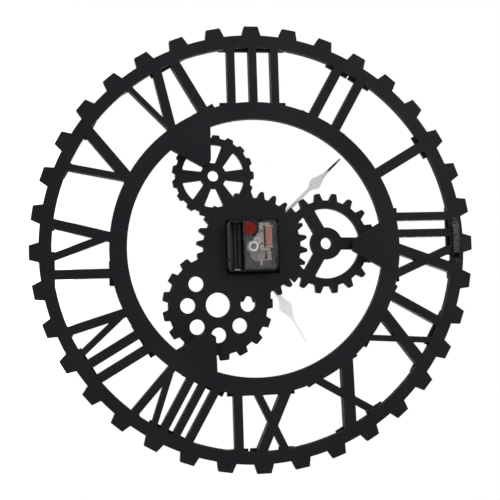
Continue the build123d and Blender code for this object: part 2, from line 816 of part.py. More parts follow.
cover -= block(
    notch_left, case_right, notch_bottom, notch_bottom + clip_notch_length, case_back, cover_inside
)
nodes["movement_cover"] = on_arbor(cover)

# Train plate on the case posts, with bosses for the circuit board and posts for the stator
plate = block(
    chamber_left + part_gap,
    chamber_right - part_gap,
    chamber_bottom + part_gap,
    chamber_top - part_gap,
    plate_layer,
    plate_front,
)
plate -= rod(clutch_arbor_radius + part_gap, plate_layer, plate_front)
plate -= rod(train_arbor_radius + part_gap, plate_layer, plate_front, third_place)
plate -= rod(tip_of(knob_pinion_teeth, setting_module) + part_gap, plate_layer, plate_front, knob_place)
for place in (fifth_place, rotor_place):
    plate -= rod(pivot_radius + running_gap, plate_layer, plate_front, place)

board_front = third_layer - part_gap
board_back = board_front - board_thickness
board_left = chamber_left + board_end_gap
board_right = board_left + board_length
board_top = chamber_top - board_side_gap
board_bottom = board_top - board_width
board_pin_places = [
    (board_left + boss_radius, board_top - boss_radius),
    (board_right - boss_radius, board_top - boss_radius),
    (board_left + boss_radius, board_bottom + boss_radius),
]
for place in board_pin_places:
    plate += rod(boss_radius, board_front, plate_layer, place)
    plate += rod(board_pin_radius, board_back - part_gap, board_front, place)

stator_front = stator_layer + stator_thickness
strip_top = stator_strip_bottom + stator_strip_width
coil_left = coil_middle_x - coil_length / 2
coil_right = coil_middle_x + coil_length / 2
coil_middle_z = coil_bottom + coil_width / 2
bobbin_left = coil_left - flange_thickness
bobbin_right = coil_right + flange_thickness
left_leg = bobbin_left - stator_leg_gap - stator_leg_width
right_leg = bobbin_right + stator_leg_gap
stator_pin_z = (stator_strip_bottom + strip_top) / 2
stator_pin_places = [
    (rotor_place[0] - stator_ring_radius - plate_post_radius * 2, stator_pin_z),
    (rotor_place[0] + stator_ring_radius + plate_post_radius, stator_pin_z),
]
for place in stator_pin_places:
    plate += rod(plate_post_radius, stator_front, plate_layer, place)
    plate += rod(stator_post_radius, stator_layer - part_gap, stator_front, place)
nodes["train_plate"] = on_arbor(plate)

# Stator with two legs up to the coil core
stator_face = strip(left_leg, right_leg + stator_leg_width, stator_strip_bottom, strip_top)
leg_top = coil_middle_z - core_width / 2
stator_face += strip(left_leg, left_leg + stator_leg_width, stator_strip_bottom, leg_top)
stator_face += strip(right_leg, right_leg + stator_leg_width, stator_strip_bottom, leg_top)
stator_face += Pos(*rotor_place) * Circle(stator_ring_radius)
stator_face -= Pos(*rotor_place) * Circle(stator_hole_radius)
for place in stator_pin_places:
    stator_face -= Pos(*place) * Circle(stator_post_radius + running_gap)
nodes["stator"] = on_arbor(slab(stator_face, stator_layer, stator_thickness))

# Coil on its bobbin, with the core strip through it
core_middle = stator_layer + stator_thickness / 2
flange_half = plate_layer - core_middle
flange_half_width = coil_width / 2 + flange_overhang
coil_half = flange_half - flange_overhang / 2
slot_half_width = core_width / 2 + seat_gap
slot_half_depth = stator_thickness / 2 + seat_gap
tube_half_width = slot_half_width + bobbin_wall
tube_half_depth = slot_half_depth + bobbin_wall


def around_core(left, right, half_width, half_depth):
    low = coil_middle_z - half_width
    high = coil_middle_z + half_width
    return block(left, right, low, high, core_middle - half_depth, core_middle + half_depth)


bobbin = around_core(coil_left, coil_right, tube_half_width, tube_half_depth)
bobbin += around_core(bobbin_left, coil_left, flange_half_width, flange_half)
bobbin += around_core(coil_right, bobbin_right, flange_half_width, flange_half)
bobbin -= around_core(bobbin_left, bobbin_right, slot_half_width, slot_half_depth)
nodes["coil_bobbin"] = on_arbor(bobbin)
winding = around_core(coil_left, coil_right, coil_width / 2, coil_half)
winding = fillet(winding.edges().filter_by(Axis.X), coil_half * 0.6)
winding -= around_core(coil_left, coil_right, tube_half_width, tube_half_depth)
nodes["coil_winding"] = on_arbor(winding)
core = around_core(left_leg, right_leg + stator_leg_width, core_width / 2, stator_thickness / 2)
nodes["coil_core"] = on_arbor(core)

# Circuit board with an arm to the coil, its chip cover on the front and its crystal on the back
board = block(board_left, board_right, board_bottom, board_top, board_back, board_front)
arm_bottom = coil_middle_z - board_arm_width / 2
arm_top = coil_middle_z + board_arm_width / 2
board += block(board_right, left_leg - board_arm_gap, arm_bottom, arm_top, board_back, board_front)
for place in board_pin_places:
    board -= rod(board_pin_radius + running_gap, board_back, board_front, place)
nodes["circuit_board"] = on_arbor(board)
board_middle = ((board_left + board_right) / 2, (board_bottom + board_top) / 2)
chip = rod(chip_radius, board_front, board_front + chip_height, board_middle)
chip = fillet(chip.edges().group_by(Axis.Y)[0], chip_height * 0.6)
nodes["chip_cover"] = on_arbor(chip)
crystal = Rot(0, 90, 0) * Cylinder(crystal_radius, crystal_length)
crystal_x = board_right - crystal_edge_gap - crystal_length / 2
crystal_z = board_bottom + crystal_edge_gap + crystal_radius
nodes["quartz_crystal"] = on_arbor(Pos(crystal_x, crystal_radius - board_back, crystal_z) * crystal)

# Battery contacts on the ends of the bay
contact_back = case_back + 2.0
contact_front = contact_back + contact_height
contact_low = bay_middle - contact_width / 2
contact_high = bay_middle + contact_width / 2
plus = block(bay_right - contact_sheet, bay_right, contact_low, contact_high, contact_back, contact_front)
dimple = Cylinder(contact_dimple_radius, contact_dimple_height, rotation=(0, 90, 0))
dimple_x = bay_right - contact_sheet - contact_dimple_height / 2
plus += Pos(dimple_x, -(contact_back + contact_front) / 2, bay_middle) * dimple
nodes["battery_contact_plus"] = on_arbor(plus)
minus = block(bay_left, bay_left + contact_sheet, contact_low, contact_high, contact_back, contact_front)
tip = bay_left + contact_spring
leaf = [(bay_left, -contact_front), (bay_left + contact_sheet, -contact_front)]
leaf += [(tip, -contact_back - 3.0), (tip - contact_sheet, -contact_back - 3.0)]
leaf_face = make_face(Polyline(*leaf, close=True))
minus += extrude(Plane.XY.offset(contact_low) * leaf_face, amount=contact_width)
nodes["battery_contact_minus"] = on_arbor(minus)

# Rotor and going train, each wheel on its own arbor with two pivots
magnet_back = fifth_layer + wheel_thickness + part_gap
magnet_front = magnet_back + magnet_height
plate_pivot_front = plate_layer + train_plate_thickness / 2
rotor_pinion_front = fifth_layer + wheel_thickness + pinion_overrun
rotor = rod(magnet_radius, magnet_back, magnet_front, rotor_place)
rotor += wheel(
    rotor_pinion_teeth, fifth_module, rotor_tooth, rotor_pinion_back, rotor_pinion_front, rotor_place
)
rotor += rod(train_arbor_radius, rotor_pinion_front, magnet_back, rotor_place)
rotor += rod(pivot_radius, rotor_pinion_back - pivot_length, rotor_pinion_back, rotor_place)
rotor += rod(pivot_radius, magnet_front, plate_pivot_front, rotor_place)
nodes["rotor"] = on_arbor(rotor)

fifth_wheel_front = fifth_layer + wheel_thickness
fifth_pinion_back = second_layer - pinion_overrun
fifth = wheel(fifth_wheel_teeth, fifth_module, fifth_tooth, fifth_layer, fifth_wheel_front, fifth_place)
fifth += rod(train_arbor_radius, fifth_wheel_front, fifth_pinion_back, fifth_place)
fifth += wheel(
    fifth_pinion_teeth, second_module, fifth_tooth, fifth_pinion_back, fifth_pinion_front, fifth_place
)
fifth += rod(pivot_radius, fifth_layer - pivot_length, fifth_layer, fifth_place)
fifth += rod(pivot_radius, fifth_pinion_front, plate_pivot_front, fifth_place)
nodes["fifth_wheel"] = on_arbor(fifth)

arbor_back = plate_layer + running_gap * 2
second_wheel_front = second_layer + wheel_thickness
second_pinion_back = third_layer - pinion_overrun
second_pinion_front = third_layer + wheel_thickness + pinion_overrun
second_pivot_front = motion_layer + wheel_thickness / 2
second = wheel(second_wheel_teeth, second_module, second_tooth, second_layer, second_wheel_front, axis)
second += rod(train_arbor_radius, second_wheel_front, second_pinion_back)
second += wheel(
    second_pinion_teeth, third_module, second_tooth, second_pinion_back, second_pinion_front, axis
)
second += rod(pivot_radius, second_layer - pivot_length, second_layer)
second += rod(pivot_radius, second_pinion_front, second_pivot_front)
nodes["second_wheel"] = on_arbor(second)

third_wheel_front = third_layer + wheel_thickness
third_pinion_back = centre_layer - pinion_overrun
third = wheel(third_wheel_teeth, third_module, third_tooth, third_layer, third_wheel_front, third_place)
third += rod(train_arbor_radius, third_wheel_front, third_pinion_back, third_place)
third += wheel(
    third_pinion_teeth, centre_module, third_tooth, third_pinion_back, third_pinion_front, third_place
)
third += rod(pivot_radius, third_layer - pivot_length, third_layer, third_place)
third += rod(pivot_radius, third_pinion_front, third_pivot_front, third_place)
nodes["third_wheel"] = on_arbor(third)

centre_wheel_front = centre_layer + wheel_thickness
centre = wheel(centre_wheel_teeth, centre_module, centre_tooth, centre_layer, centre_wheel_front, axis)
centre -= rod(clutch_arbor_radius + running_gap, centre_layer, centre_wheel_front)
nodes["centre_wheel"] = on_arbor(centre)

# Minute arbor with its pinion; its hollow back end carries the second wheel's front pivot
cannon_back = motion_layer - pinion_overrun
cannon_front = motion_layer + wheel_thickness + pinion_overrun
minute_arbor = wheel(cannon_teeth, setting_module, cannon_tooth, cannon_back, cannon_front, axis)
minute_arbor += rod(clutch_arbor_radius, arbor_back, cannon_back)
minute_arbor += rod(minute_arbor_radius, cannon_front, minute_hand_back)
minute_arbor += rod(minute_tip_radius, minute_hand_back, minute_arbor_end)
minute_arbor -= rod(pivot_radius + running_gap, arbor_back, second_pivot_front + running_gap)
nodes["minute_arbor"] = on_arbor(minute_arbor)

# Motion wheel, hour wheel and set knob
motion_wheel_front = motion_layer + wheel_thickness
motion_pinion_front = hour_layer + wheel_thickness + pinion_overrun
motion = wheel(
    motion_wheel_teeth, setting_module, motion_tooth, motion_layer, motion_wheel_front, motion_place
)
motion += wheel(
    motion_pinion_teeth, hour_module, motion_tooth, motion_wheel_front, motion_pinion_front, motion_place
)
motion -= rod(motion_post_radius + running_gap, motion_layer, motion_pinion_front, motion_place)
nodes["motion_wheel"] = on_arbor(motion)

hour_wheel_front = hour_layer + wheel_thickness
hour = wheel(hour_wheel_teeth, hour_module, hour_tooth, hour_layer, hour_wheel_front, axis)
hour += rod(hour_pipe_radius, hour_wheel_front, hour_pipe_end)
hour -= rod(hour_pipe_inner_radius, hour_layer, hour_pipe_end)
nodes["hour_wheel"] = on_arbor(hour)

knob_face = Circle(knob_radius)
for number in range(knob_flutes):
    knob_face -= Pos(*clock_point(knob_radius, number * 360.0 / knob_flutes)) * Circle(knob_flute_radius)
knob_back = case_back - knob_stand
knob_front = case_back + recess_depth - part_gap
knob_pinion_back = motion_layer - pinion_overrun
knob = slab(Pos(*knob_place) * knob_face, knob_back, knob_front - knob_back)
knob += rod(knob_stem_radius, knob_front, knob_pinion_back, knob_place)
knob += wheel(knob_pinion_teeth, setting_module, knob_tooth, knob_pinion_back, knob_pinion_front, knob_place)
knob += rod(train_arbor_radius, knob_pinion_front, knob_pivot_front, knob_place)
nodes["set_knob"] = on_arbor(knob)

# Washer and nut that clamp the movement to the front gear
washer_face = Circle(washer_radius) - Circle(bushing_radius + seat_gap)
nodes["mounting_washer"] = on_arbor(slab(washer_face, washer_back, washer_thickness))
nut_face = RegularPolygon(nut_across_flats / 2, 6, major_radius=False) - Circle(bushing_radius + seat_gap)
nodes["mounting_nut"] = on_arbor(slab(nut_face, nut_back, nut_thickness))


def hand_face(length, hub_radius, stem_width, shares, bulge_width, needle_width, tip_width):
    """A spade hand pointing to XII: a round hub, a straight stem, a spade and a needle point."""
    waist, bulge, shoulder = (share * length for share in shares)
    right = []
    left = []
    for side, edges in ((1, right), (-1, left)):
        stem_end = (side * stem_width / 2, waist)
        widest = (side * bulge_width / 2, bulge)
        needle = (side * needle_width / 2, shoulder)
        tip = (side * tip_width / 2, length)
        edges.append(Line((side * stem_width / 2, 0.0), stem_end))
        edges.append(Spline(stem_end, widest, needle, tangents=[(0.0, 1.0), (0.0, 1.0)]))
        edges.append(Line(needle, tip))
    foot = Line((-stem_width / 2, 0.0), (stem_width / 2, 0.0))
    point = Line((-tip_width / 2, length), (tip_width / 2, length))
    return make_face([foot, *right, point, *left]) + Circle(hub_radius)


# Hands and the nut on the minute arbor
hour_bore = hour_pipe_radius + seat_gap
hour_face = hand_face(
    hour_hand_length,
    hour_hub_radius,
    hour_stem_width,
    (hour_waist_share, hour_bulge_share, hour_shoulder_share),
    hour_bulge_width,
    hour_needle_width,
    hour_tip_width,
)
hour_hand = slab(turned(hour_face, hour_hand_angle), hour_hand_back, hand_sheet)
hour_hand += rod(hour_bore + collet_wall, hour_hand_back - collet_length, hour_hand_back)
hour_hand -= rod(hour_bore, hour_hand_back - collet_length, hour_hand_back + hand_sheet)
nodes["hour_hand"] = on_arbor(hour_hand)

minute_face = hand_face(
    minute_hand_length,
    minute_hub_radius,
    minute_stem_width,
    (minute_waist_share, minute_bulge_share, minute_shoulder_share),
    minute_bulge_width,
    minute_needle_width,
    minute_tip_width,
)
collet_bore = minute_arbor_radius + seat_gap
minute_hand = slab(turned(minute_face, minute_hand_angle), minute_hand_back, hand_sheet)
minute_hand += rod(collet_bore + collet_wall, minute_hand_back - collet_length, minute_hand_back)
minute_hand -= rod(collet_bore, minute_hand_back - collet_length, minute_hand_back)
minute_hand -= rod(minute_tip_radius + seat_gap, minute_hand_back, minute_hand_back + hand_sheet)
nodes["minute_hand"] = on_arbor(minute_hand)

hand_nut_back = minute_hand_back + hand_sheet
hand_nut_front = hand_nut_back + hand_nut_height
hand_nut = rod(hand_nut_radius, hand_nut_back, hand_nut_front)
hand_nut = fillet(hand_nut.edges().group_by(Axis.Y)[0], hand_nut_radius * 0.4)
hand_nut -= rod(minute_tip_radius + seat_gap, hand_nut_back, minute_arbor_end + part_gap)
nodes["hand_nut"] = on_arbor(hand_nut)

os.makedirs("parts", exist_ok=True)
for name, piece in nodes.items():
    export_step(piece, f"parts/{name}.step")
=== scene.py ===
import json
import math

import bmesh
import bpy
from mathutils import Matrix, Vector


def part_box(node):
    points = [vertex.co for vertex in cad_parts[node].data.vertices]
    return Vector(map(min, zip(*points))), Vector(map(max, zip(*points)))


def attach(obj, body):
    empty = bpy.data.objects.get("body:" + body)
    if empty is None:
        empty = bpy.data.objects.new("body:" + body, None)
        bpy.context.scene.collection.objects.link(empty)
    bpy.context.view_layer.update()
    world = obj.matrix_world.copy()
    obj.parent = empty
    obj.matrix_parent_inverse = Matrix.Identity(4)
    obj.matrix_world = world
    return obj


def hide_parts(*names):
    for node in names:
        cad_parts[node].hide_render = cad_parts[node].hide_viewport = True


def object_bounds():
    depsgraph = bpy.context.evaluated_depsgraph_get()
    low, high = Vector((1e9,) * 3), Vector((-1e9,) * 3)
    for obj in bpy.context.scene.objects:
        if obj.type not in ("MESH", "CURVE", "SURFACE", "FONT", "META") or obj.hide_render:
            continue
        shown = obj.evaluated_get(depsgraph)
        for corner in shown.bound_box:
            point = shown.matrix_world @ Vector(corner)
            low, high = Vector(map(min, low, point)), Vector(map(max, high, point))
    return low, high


# A gear wall clock of black painted board, seen from behind and a quarter turn round.
# Metres, in the frame of the solids: +X to III, +Z to XII, -Y to the front.

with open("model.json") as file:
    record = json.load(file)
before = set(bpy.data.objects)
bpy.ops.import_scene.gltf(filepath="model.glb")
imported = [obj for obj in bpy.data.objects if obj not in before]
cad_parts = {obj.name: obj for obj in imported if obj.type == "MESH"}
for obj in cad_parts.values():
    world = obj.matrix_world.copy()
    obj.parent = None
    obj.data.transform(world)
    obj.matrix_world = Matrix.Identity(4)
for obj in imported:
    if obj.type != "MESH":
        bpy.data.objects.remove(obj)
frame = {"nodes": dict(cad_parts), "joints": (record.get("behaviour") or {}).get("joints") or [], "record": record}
cad_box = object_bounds()
nodes = frame["nodes"]
slots = {part["node"]: part["material_slot"] for part in frame["record"]["subparts"]}
joint_axes = {joint["child"]: Vector(joint["pos_m"]) for joint in frame["joints"]}
MM = 0.001

# Camera: III is at the top of the photo
camera_place = Vector((-0.06196, 1.1043, -0.1806))
camera_aim = Vector((-0.00264, 0.0, -0.00877))
camera_up = Vector((1.0, 0.0, 0.0))
camera_roll = math.radians(1.768)
camera_lens = 72.35
camera_sensor = 36.0

# Stage
white = (1.0, 1.0, 1.0)
floor_gap = 0.0002
floor_size = 5.0
floor_colour = (0.86, 0.86, 0.86)
floor_roughness = 0.9
floor_glow = 0.66
sky_light = 0.4
seen_sky = 1.0

# Soft lights: name, place, power in watts and diameter
lights = (
    ("key", Vector((1.25, 1.05, 1.3)), 36.0, 1.4),
    ("front", Vector((-0.7, -1.7, 1.0)), 26.0, 1.4),
    ("top", Vector((0.1, 0.2, 1.9)), 12.0, 1.2),
)

# Board: how far a face looks along Y, from a sawn edge to a painted face
sawn_facing = 0.35
painted_facing = 0.6
paint_rounding = 0.45 * MM
paint_wear_radius = 0.8 * MM
paint_relief = 0.12 * MM

# Hanger: the dark feet at its ends and the lower leg where shade is painted, measured down from its end towards
# III
hanger_foot = 6.4 * MM
hanger_leg_start = 41.2 * MM
hanger_leg_end = 45.7 * MM
hanger_fade = 0.8 * MM
hanger_foot_share = 0.7
hanger_highlight_share = 0.4
plated_wear_radius = 0.25 * MM
plated_rounding = 0.15 * MM
plated_relief = 0.05 * MM

# Movement case: the grey rim beside the bay, and the ribs on the bay's floor, whose tops carry a painted highlight
bay_floor = -14.8 * MM
bay_side = -30.2 * MM
case_rounding = 0.25 * MM
rim_fade = 1.5 * MM
rim_elsewhere = 0.12
rim_start = -1.6 * MM
rim_end = -0.4 * MM
rib_foot_height = 0.35 * MM
rib_foot_fade = 0.1 * MM
rib_top_height = 0.6 * MM
rib_top_fade = 0.2 * MM

# Clear cover: the frosted ring about the hand axis, a frosted disc beside it, and how much each part hides
frost_ring_inner = 3.6 * MM
frost_ring_outer = 5.4 * MM
frost_disc_place = Vector((-13.2 * MM, 0.0, 8.2 * MM))
frost_disc_radius = 4.8 * MM
frost_fade = 0.5 * MM
cover_rounding = 0.3 * MM
haze_alpha = (0.07, 0.1)
edge_alpha = 0.25
ring_alpha = 0.42
disc_alpha = 0.12

# Painted shadow in a ring on the far side of the set knob, and painted shade at the end of the train plate
recess_ring_inner = 7.0 * MM
recess_ring_outer = 8.6 * MM
far_side_start = 1.0 * MM
far_side_fade = 2.0 * MM
train_shade_start = 7.0 * MM
train_shade_fade = 3.0 * MM

# Negative contact's painted glint, and the circuit board's tinned arm
glint_width = 5.8 * MM
glint_depth = 1.3 * MM
board_arm_start = -14.3 * MM
board_arm_fade = 0.6 * MM

# Hands: their angles from XII, how a front face is told from the rest, and the stretch of the minute hand's needle
# with a painted dark reflection
hour_angle = math.radians(299.4)
minute_angle = math.radians(42.7)
front_facing = -0.6
front_facing_fade = 0.3
needle_start = 125.0 * MM
needle_end = 146.2 * MM
needle_fade = 6.0 * MM

# Moulded plastic: how fine its clouds and grain are, and how far its roughness strays to each side
mould_cloud = 120.0
mould_grain = 2400.0
mould_smoother = 0.06
mould_rougher = 0.08
mould_relief = 0.04 * MM
mould_rounding = 0.2 * MM

# Drawn metal: how fine its lines are and how far drawn out, and how far its roughness strays to each side
drawn_lines = 1800.0
drawn_stretch = 0.03
drawn_smoother = 0.07
drawn_rougher = 0.1
drawn_relief = 0.03 * MM
drawn_rounding = 0.12 * MM

# Turned brass and brushed hands, and the weave of the circuit board
lathe_pitch = 0.12 * MM
bright_relief = 0.02 * MM
bright_rounding = 0.15 * MM
weave_scale = 1400.0
weave_stretch = 0.15
weave_low, weave_high = 0.8, 1.2
weave_relief = 0.03 * MM

# Ranges of a noise that are spread over a pair of colours, and over roughness or haze
tone_low, tone_high = 0.35, 0.65
rough_low, rough_high = 0.3, 0.7
bevel_samples = 6

# Colours of the board: linear red, green and blue, a pair for the two ends of a pattern
paint_face = ((0.0075, 0.0076, 0.0096), (0.011, 0.011, 0.0134))
paint_stipple = (0.0185, 0.0185, 0.021)
paint_worn = (0.036, 0.033, 0.031)
sawn_edge = ((0.0032, 0.0029, 0.0027), (0.016, 0.013, 0.011))
sawn_layer = (0.008, 0.007, 0.0064)

# Colours of the metals, with a painted highlight and painted shade on the hanger, a painted glint on the negative
# contact and a painted dark reflection on the minute hand's needle
plated_steel = ((0.02, 0.021, 0.02), (0.044, 0.045, 0.042))
plated_rubbed = (0.08, 0.08, 0.076)
plated_painted_highlight = (0.095, 0.095, 0.09)
plated_foot = (0.006, 0.006, 0.0065)
plated_shade = (0.002, 0.002, 0.002)
plated_edge = (0.14, 0.136, 0.128)
contact_plus = ((0.03, 0.03, 0.03), (0.07, 0.068, 0.066))
contact_dull = ((0.03, 0.03, 0.03), (0.06, 0.06, 0.058))
contact_glint = ((0.78, 0.78, 0.77), (0.95, 0.95, 0.94))
crystal_can = ((0.3, 0.27, 0.25), (0.42, 0.38, 0.36))
core_steel = ((0.24, 0.202, 0.188), (0.35, 0.295, 0.276))
magnet_steel = ((0.22, 0.22, 0.23), (0.34, 0.34, 0.35))
brass_tarnish = ((0.72, 0.52, 0.2), (0.5, 0.33, 0.12))
copper_turn = ((0.23, 0.078, 0.05), (0.345, 0.138, 0.094))
copper_patch = (0.2, 0.072, 0.048)
hour_silver = ((0.6, 0.6, 0.59), (0.7, 0.7, 0.69))
minute_silver = ((0.45, 0.45, 0.44), (0.55, 0.55, 0.54))
hand_front = ((0.24, 0.24, 0.245), (0.36, 0.36, 0.36))
needle_painted_reflection = (0.022, 0.022, 0.023)

# Colours of the plastics and of the circuit board, with painted shade in the case's bay, a painted highlight on
# its ribs, lit and shaded tones of the train plate and a painted shadow by the set knob
case_black_and_painted_shade = ((0.0035, 0.0035, 0.004), (0.007, 0.007, 0.0076))
case_rim = ((0.027, 0.027, 0.031), (0.038, 0.038, 0.043))
case_rib_highlight = ((0.05, 0.05, 0.053), (0.07, 0.07, 0.074))
train_lit = ((0.042, 0.042, 0.044), (0.06, 0.059, 0.061))
train_shade = ((0.026, 0.026, 0.027), (0.037, 0.037, 0.038))
knob_shadow_black = (0.002, 0.002, 0.002)
cover_haze = ((0.17, 0.17, 0.177), (0.27, 0.27, 0.278))
cover_ring = (0.6, 0.59, 0.59)
cover_disc = (0.27, 0.258, 0.254)
chip_resin = ((0.006, 0.006, 0.006), (0.012, 0.011, 0.011))
cream_bobbin = ((0.33, 0.26, 0.23), (0.42, 0.34, 0.31))
wheel_white = ((0.26, 0.245, 0.235), (0.35, 0.33, 0.32))
second_white = ((0.18, 0.172, 0.165), (0.25, 0.24, 0.232))
third_white = ((0.13, 0.12, 0.115), (0.18, 0.168, 0.16))
knob_red = ((0.1, 0.0065, 0.004), (0.17, 0.011, 0.0065))
laminate_bare = ((0.029, 0.0132, 0.0116), (0.05, 0.025, 0.0215))
laminate_tinned = ((0.195, 0.16, 0.15), (0.265, 0.22, 0.203))

# Coil winding
winding_pitch = 0.3 * MM
winding_ridge = 0.07 * MM
winding_rings_per_turn = 6
winding_sides = 32
winding_squareness = 4.0

# Arrow moulded on the set knob
arrow_radius = 3.7 * MM
arrow_width = 0.7 * MM
arrow_height = 0.18 * MM
arrow_start = math.radians(-50.0)
arrow_end = math.radians(205.0)
arrow_head_length = 2.1 * MM
arrow_head_width = 2.4 * MM
arrow_steps = 28


def opaque(colour):
    """A colour as a socket takes it, with its fourth number added unless it is a link."""
    return colour + (1.0,) if isinstance(colour, tuple) else colour


class Graph:
    """The node tree of one procedural material, with short calls for the nodes used here."""

    def __init__(self, name, **constants):
        self.material = bpy.data.materials.new(name)
        self.material.use_nodes = True
        self.tree = self.material.node_tree
        self.shader = self.tree.nodes["Principled BSDF"]
        for socket, value in constants.items():
            self.shader.inputs[socket.replace("_", " ")].default_value = value
        self.place = self.add("ShaderNodeTexCoord").outputs["Object"]

    def add(self, kind, inputs=None, **settings):
        """A new node with its settings, and with each input linked or set."""
        node = self.tree.nodes.new(kind)
        for setting, value in settings.items():
            setattr(node, setting, value)
        for socket, value in (inputs or {}).items():
            if isinstance(value, bpy.types.NodeSocket):
                self.tree.links.new(value, node.inputs[socket])
            else:
                node.inputs[socket].default_value = value
        return node

    def link(self, socket, value):
        """A link into the shader."""
        self.tree.links.new(value, self.shader.inputs[socket])

    def noise(self, scale, detail, stretch=(1.0, 1.0, 1.0), place=None):
        """Noise of about 1/scale metres, drawn out along each axis whose stretch is small."""
        start = self.place if place is None else place
        mapping = self.add("ShaderNodeMapping", {"Vector": start, "Scale": stretch})
        inputs = {"Vector": mapping.outputs["Vector"], "Scale": scale, "Detail": detail}
        return self.add("ShaderNodeTexNoise", inputs).outputs["Fac"]

    def span(self, value, low, high, to_low=0.0, to_high=1.0):
        """The value's stretch from low to high, spread over another stretch and held at its ends."""
        inputs = {0: value, 1: low, 2: high, 3: to_low, 4: to_high}
        return self.add("ShaderNodeMapRange", inputs).outputs["Result"]

    def above(self, value, start, fade):
        """0 up to a start, and 1 from the end of the fade that follows it."""
        return self.span(value, start, start + fade)

    def below(self, value, end, fade):
        """1 up to an end, and 0 from the end of the fade that follows it."""
        return self.span(value, end, end + fade, 1.0, 0.0)

    def band(self, value, start, end, fade):
        """1 from a start to an end, with a fade outside each."""
        return self.maths("MULTIPLY", self.above(value, start - fade, fade), self.below(value, end, fade))

    def mix(self, factor, first, second):
        """A colour between two, from the colour sockets of the mix node."""
        inputs = {0: factor, 6: opaque(first), 7: opaque(second)}
        return self.add("ShaderNodeMix", inputs, data_type="RGBA").outputs[2]

    def tone(self, pattern, pair, low=tone_low, high=tone_high):
        """A colour between the two of a pair, by where a pattern lies between low and high."""
        return self.mix(self.span(pattern, low, high), *pair)

    def maths(self, operation, first, second=0.0):
        return self.add("ShaderNodeMath", {0: first, 1: second}, operation=operation).outputs[0]

    def vectors(self, operation, first, second=(0.0, 0.0, 0.0)):
        """The result of a vector operation, which is a number for a dot product or a length."""
        node = self.add("ShaderNodeVectorMath", {0: first, 1: second}, operation=operation)
        return node.outputs["Value" if operation in ("DOT_PRODUCT", "LENGTH") else "Vector"]

    def along(self, axis):
        """The place on the object along one axis."""
        return self.add("ShaderNodeSeparateXYZ", {0: self.place}).outputs[axis]

    def true_normal(self):
        return self.add("ShaderNodeNewGeometry").outputs["True Normal"]

    def facing(self, axis):
        """How far the flat face looks along one axis."""
        return self.add("ShaderNodeSeparateXYZ", {0: self.true_normal()}).outputs[axis]

    def from_axis(self, axis):
        """The distance from a line along Y through a point, for turned and moulded round pieces."""
        moved = self.vectors("SUBTRACT", self.place, axis)
        return self.vectors("LENGTH", self.vectors("MULTIPLY", moved, (1.0, 0.0, 1.0)))

    def rounded(self, radius):
        """The surface's normal with its sharp edges rounded off."""
        return self.add("ShaderNodeBevel", {"Radius": radius}, samples=bevel_samples).outputs["Normal"]

    def edge_wear(self, radius, start, end):
        """How close the surface is to a sharp edge, from the turn that a rounding would give its normal."""
        turned = self.vectors("DOT_PRODUCT", self.rounded(radius), self.true_normal())
        return self.span(turned, start, end)

    def roughen(self, pattern, smooth, rough, low=rough_low, high=rough_high):
        """Roughness from smooth to rough, by where a pattern lies between low and high."""
        self.link("Roughness", self.span(pattern, low, high, smooth, rough))

    def emboss(self, height, strength, distance, rounding=None):
        """Bumps of a height, over sharp edges that are rounded off where a radius is given."""
        inputs = {"Height": height, "Strength": strength, "Distance": distance}
        if rounding is not None:
            inputs["Normal"] = self.rounded(rounding)
        self.link("Normal", self.add("ShaderNodeBump", inputs).outputs["Normal"])


def painted_board():
    """Matt black paint rolled on board, thin and brownish on the sawn edges."""
    graph = Graph("black_board", Specular_IOR_Level=0.06)
    stipple = graph.noise(scale=1300.0, detail=3.0)
    face = graph.tone(graph.noise(scale=14.0, detail=5.0), paint_face)
    face = graph.mix(graph.span(stipple, low=0.45, high=0.75, to_high=0.45), face, paint_stipple)
    streak = graph.noise(scale=420.0, detail=4.0, stretch=(1.0, 0.05, 1.0))
    layers = graph.noise(scale=60.0, detail=3.0, stretch=(1.0, 14.0, 1.0))
    sawn = graph.tone(streak, sawn_edge, high=0.7)
    sawn = graph.mix(graph.span(layers, low=0.5, high=0.75, to_high=0.5), sawn, sawn_layer)
    across = graph.maths("ABSOLUTE", graph.facing("Y"))
    colour = graph.mix(graph.span(across, sawn_facing, painted_facing), sawn, face)
    chipped = graph.span(graph.noise(scale=90.0, detail=5.0), low=0.42, high=0.68)
    worn = graph.maths("MULTIPLY", graph.edge_wear(paint_wear_radius, start=0.985, end=0.8), chipped)
    graph.link("Base Color", graph.mix(worn, colour, paint_worn))
    graph.roughen(graph.noise(scale=160.0, detail=4.0), smooth=0.52, rough=0.7)
    streak_share = graph.span(across, sawn_facing, painted_facing, to_low=1.6, to_high=0.0)
    height = graph.maths("ADD", stipple, graph.maths("MULTIPLY", streak, streak_share))
    graph.emboss(height, strength=0.22, distance=paint_relief, rounding=paint_rounding)
    return graph.material


